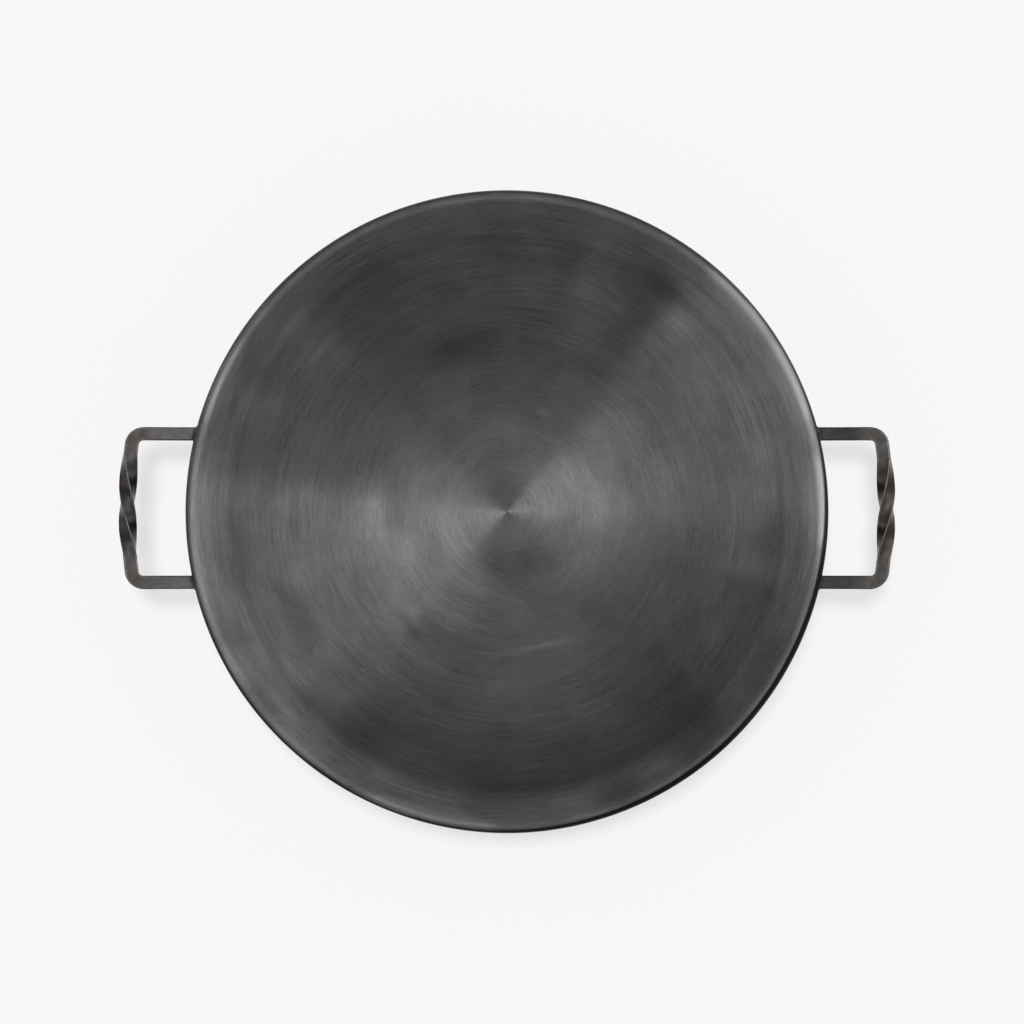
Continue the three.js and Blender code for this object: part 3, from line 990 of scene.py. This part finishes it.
def weld_bead():
    """A tree that lays a rippled bead along a seam."""
    tree, size, seam = new_tree("weld_bead", "Seam", dict.fromkeys(BEAD_SIZES, "Float"))
    steps = {"Curve": seam, "Length": BEAD_STEP}
    even = add_node(tree, "GeometryNodeResampleCurve", steps, mode="LENGTH").outputs[0]
    along = add_node(tree, "GeometryNodeSplineParameter").outputs
    waves = times(tree, calc(tree, "DIVIDE", along["Length"], size["Ripple"]), pi)
    crest = calc(tree, "ABSOLUTE", calc(tree, "SINE", waves))
    ripple = calc(tree, "MULTIPLY_ADD", calc(tree, "SUBTRACT", crest, 1), size["Ripple Depth"], 1)
    from_middle = calc(tree, "ABSOLUTE", calc(tree, "MULTIPLY_ADD", along["Factor"], 2, -1))
    drop = times(tree, calc(tree, "POWER", from_middle, TAPER_POWER), size["End Taper"])
    taper = calc(tree, "SQRT", calc(tree, "SUBTRACT", 1, drop))
    circle = {"Resolution": BEAD_CORNERS, "Radius": size["Radius"]}
    ring = add_node(tree, "GeometryNodeCurvePrimitiveCircle", circle).outputs[0]
    sweep = {"Curve": even, "Profile Curve": ring, "Scale": times(tree, ripple, taper), "Fill Caps": True}
    laid = add_node(tree, "GeometryNodeCurveToMesh", sweep).outputs[0]
    return close_tree(tree, laid, size["Finish"])


bead_tree = weld_bead()
print("weld_bead:", len(bead_tree.nodes), "nodes")

# %% Draw the seams
LIP_BEAD = 2.1 * MM
BEAD_OVERHANG = 0.7 * MM
LIP_SEAM_STEPS = 40
WALL_BEAD = 3.0 * MM
WALL_BEAD_LIFT = 1.3 * MM
FLAT_STEPS = 12
ROUND_STEPS = 6


def lip_seam(leg):
    """Across the top of a leg of the right handle, along the outside of the lip."""
    half_length = half_bar + BEAD_OVERHANG
    places = []
    for step in range(LIP_SEAM_STEPS + 1):
        y = HANDLE_SHIFT + leg * leg_half + half_length * (2 * step / LIP_SEAM_STEPS - 1)
        x = sqrt(RIM_RADIUS**2 - y**2)
        places.append((x, y, leg_top + (x - seat_x) * tan(HANDLE_RISE)))
    return places


def wall_seam(leg):
    """Round the end of a leg of the right handle, a little clear of the leg and of the wall."""
    flat = BAR - 2 * BAR_EDGE
    side = [(flat, 0, FLAT_STEPS), (BAR_EDGE, pi / 2, ROUND_STEPS)]
    places = []
    for at, heading in trace((half_bar, -flat / 2), pi / 2, side * 4)[:-1]:
        out = at + WALL_BEAD_LIFT * Vector((sin(heading), -cos(heading)))
        across = leg * leg_half + out.x
        distance = meets_wall(across, out.y) + WALL_BEAD_LIFT
        places.append(handle_frame @ Vector((distance, across, out.y)))
    return places


print("seams of", len(lip_seam(1)), "and", len(wall_seam(1)), "points")

# %% Lay the beads
RIPPLES = {"Ripple": 1.5 * MM, "Ripple Depth": 0.12}
OPEN_TAPER = 0.92
LEGS = {"right_rear": (1, 1), "right_front": (1, -1), "left_rear": (-1, 1), "left_front": (-1, -1)}

beads = {}
for corner, (flip_x, leg) in LEGS.items():
    for kind, places, closed, radius in (
        ("lip", lip_seam(leg), False, LIP_BEAD),
        ("wall", wall_seam(leg), True, WALL_BEAD),
    ):
        values = {"Radius": radius, "End Taper": 0.0 if closed else OPEN_TAPER, "Finish": weld_finish}
        mirrored = [(x * flip_x, y, z) for x, y, z in places]
        values["Seam"] = guide_line(f"{kind}_seam", mirrored, closed)
        bead = make_piece(f"{kind}_bead_{corner}", bead_tree, {**RIPPLES, **values})
        beads[f"{kind}_weld_{corner}"] = bead

# %% [markdown]
# ## What each piece stands for
# Nothing on this wok moves, so every piece rides on the one body. Each dressed piece hides the CAD solid
# that it replaces. Its finish comes from its own tree, and the slot listed with each piece isn't used.

# %% Hand the pieces to the frame
dressed = [(bowl, "bowl", "bowl_steel")]
dressed += [(piece, f"handle_{side}", "handle_steel") for side, piece in handles.items()]
dressed += [(piece, node, "weld_steel") for node, piece in beads.items()]
for piece, node, slot in dressed:
    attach(piece, "root")
    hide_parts(node)
print(len(dressed), "pieces ride on root")

# %% [markdown]
# ## The floor
# The photo's ground is an even, nearly white sheet with a faint shadow. Lighting a floor up to white
# would burn out the object. So what the camera and the reflections see of the floor is partly its own
# glow, and the rest is lit, which keeps the shadow.

# %% Make the floor
FLOOR_SIDE = 40.0
PALE = (0.932, 0.932, 0.932, 1)
GLOW_SHARE = 0.7


def pale_floor():
    """A pale matt sheet that glows for the camera and for reflected and refracted rays."""
    material = bpy.data.materials.new("pale_floor")
    material.use_nodes = True
    tree = material.node_tree
    tree.nodes.remove(tree.nodes["Principled BSDF"])
    lit = add_node(tree, "ShaderNodeBsdfDiffuse", {"Color": PALE}).outputs[0]
    glow = add_node(tree, "ShaderNodeEmission", {"Color": PALE}).outputs[0]
    path = add_node(tree, "ShaderNodeLightPath").outputs
    seen = calc(tree, "MAXIMUM", path["Is Camera Ray"], path["Is Glossy Ray"])
    seen = calc(tree, "MAXIMUM", seen, path["Is Transmission Ray"])
    share = times(tree, seen, GLOW_SHARE)
    mixed = add_node(tree, "ShaderNodeMixShader", {0: share, 1: lit, 2: glow}).outputs[0]
    tree.links.new(mixed, tree.nodes["Material Output"].inputs["Surface"])
    return material


reach = FLOOR_SIDE / 2
floor_corners = [(-reach, -reach, 0), (reach, -reach, 0), (reach, reach, 0), (-reach, reach, 0)]
floor_mesh = bpy.data.meshes.new("floor")
floor_mesh.from_pydata(floor_corners, [], [(0, 1, 2, 3)])
floor_mesh.materials.append(pale_floor())
floor = new_object("floor", floor_mesh)
print("floor of", FLOOR_SIDE, "m")

# %% [markdown]
# ## The world
# Past the floor's edge the camera should see the same pale colour. For every other ray the world is a dim
# grey room: the steel reflects it between the lamps, and for matt surfaces it is dimmer still, so the
# shadow on the floor isn't filled up.

# %% Make the world
WORLD_LEVEL = 0.4
AMBIENT_LEVEL = 0.2
world = bpy.data.worlds.new("studio")
world.use_nodes = True
bpy.context.scene.world = world
sky = world.node_tree
rays = add_node(sky, "ShaderNodeLightPath").outputs
room = sky.nodes["Background"]
room.inputs["Color"].default_value = (1, 1, 1, 1)
sky.links.new(remap(sky, rays["Is Diffuse Ray"], 0, 1, WORLD_LEVEL, AMBIENT_LEVEL), room.inputs["Strength"])
pale = add_node(sky, "ShaderNodeBackground", {"Color": PALE, "Strength": 1.0}).outputs[0]
views = {0: rays["Is Camera Ray"], 1: room.outputs[0], 2: pale}
shown = add_node(sky, "ShaderNodeMixShader", views).outputs[0]
sky.links.new(shown, sky.nodes["World Output"].inputs["Surface"])
print("world level", WORLD_LEVEL, "for steel and", AMBIENT_LEVEL, "for the floor")

# %% [markdown]
# ## Lamps
# The wedges in the bowl say where the lamps were: strong soft cards to the right and rear, weaker ones to
# the left. A wedge has straight sides that meet on the axis, so its lamp has to get narrower towards the
# zenith: a fan of cards above each other does that. A few near cards give the lip its glints. Steel shows
# the cards, the floor should not, so they light no matt surface. A sun does that, from high up and a
# little behind. It is wide, so that the shadow, which falls forwards, has a soft edge. Steel doesn't show
# it. A card's width and height are half angles in degrees, seen from the wok.

# %% Place a lamp
AIM = Vector((0, 0, 0.05))
CARD_DISTANCE = 1.8
NEAR_DISTANCE = 0.5
STEEPEST = 80


def place_lamp(name, lamp, azimuth, elevation, distance=CARD_DISTANCE):
    """Links a lamp at a bearing and height round the wok, turned towards it."""
    lamp_object = new_object(name, lamp)
    bearing = radians(azimuth)
    climb = radians(elevation)
    away = Vector((cos(climb) * cos(bearing), cos(climb) * sin(bearing), sin(climb)))
    lamp_object.location = AIM + distance * away
    lamp_object.rotation_euler = away.to_track_quat("Z", "Y").to_euler()
    return lamp_object


def soft_card(name, azimuth, elevation, wide, tall, radiance, distance=CARD_DISTANCE):
    """A rectangular card that spans an angle to both sides, and up and down, seen from the wok."""
    card = bpy.data.lights.new(name, "AREA")
    card.shape = "RECTANGLE"
    card.size = 2 * distance * cos(radians(min(elevation, STEEPEST))) * tan(radians(wide))
    card.size_y = 2 * distance * tan(radians(tall))
    card.energy = radiance * pi * card.size * card.size_y
    card_object = place_lamp(name, card, azimuth, elevation, distance)
    card_object.visible_diffuse = False
    card_object.visible_camera = False
    print(name, "is", round(card.size, 2), "by", round(card.size_y, 2), "m")


def soft_fan(name, azimuth, low, high, wide, radiance, cards):
    """Cards above each other that get narrower towards the top, so that both sides point at the zenith."""
    tall = (high - low) / cards / 2
    for card in range(cards):
        soft_card(f"{name}_{card}", azimuth, low + tall * (2 * card + 1), wide, tall, radiance)


print("cards stand", CARD_DISTANCE, "and", NEAR_DISTANCE, "m away")

# %% Set up the lamps
soft_card("right_low", azimuth=3, elevation=18, wide=48, tall=16, radiance=0.78)
soft_card("right_strip", azimuth=17, elevation=28, wide=24, tall=7, radiance=2.1, distance=NEAR_DISTANCE)
soft_fan("right_high", azimuth=20.5, low=58, high=80, wide=28, radiance=2.05, cards=4)
soft_card("left_low", azimuth=198, elevation=15, wide=33, tall=15, radiance=1.45)
soft_fan("left_high", azimuth=203, low=60, high=80, wide=26, radiance=1.2, cards=4)
soft_card("left_glint", azimuth=150, elevation=24, wide=12, tall=5, radiance=1.5, distance=NEAR_DISTANCE)
soft_card("front_glint", azimuth=246, elevation=19, wide=7, tall=4, radiance=1.6, distance=NEAR_DISTANCE)
soft_card("front_low", azimuth=285, elevation=15, wide=40, tall=15, radiance=0.3)
soft_card("rear_wide", azimuth=85, elevation=52, wide=40, tall=14, radiance=0.45)
soft_card("ceiling", azimuth=0, elevation=89, wide=24, tall=14, radiance=2.6)

SUN_POWER = 2.54
SUN_WIDTH = radians(12.5)
overhead = bpy.data.lights.new("overhead", "SUN")
overhead.energy = SUN_POWER
overhead.angle = SUN_WIDTH
overhead_object = place_lamp("overhead", overhead, azimuth=105, elevation=81)
overhead_object.visible_glossy = False
print("overhead sun of", SUN_POWER, "W per square metre")

# %% [markdown]
# ## Camera
# The photo looks straight down from far away. The camera hangs over the bowl with its top towards the
# rear, and its lens is worked out from the width that the picture shows at the height of the rim. The wok
# isn't quite in the middle of the photo, so the camera hangs a little off the axis.

# %% Hang the camera
CAMERA_DISTANCE = 2.4
CAMERA_OFFSET = Vector((3.6 * MM, -0.2 * MM))
SHOWN_WIDTH = 731.4 * MM
SENSOR = 36.0
FARTHEST = 100
lens = bpy.data.cameras.new("overhead_camera")
lens.sensor_width = SENSOR
lens.lens = SENSOR * CAMERA_DISTANCE / SHOWN_WIDTH
lens.clip_end = FARTHEST
camera = new_object("overhead_camera", lens)
camera.location = (*CAMERA_OFFSET, BOWL_HEIGHT + CAMERA_DISTANCE)
bpy.context.scene.camera = camera
bpy.context.scene.view_settings.view_transform = "Standard"
print("lens", round(lens.lens, 1), "mm")
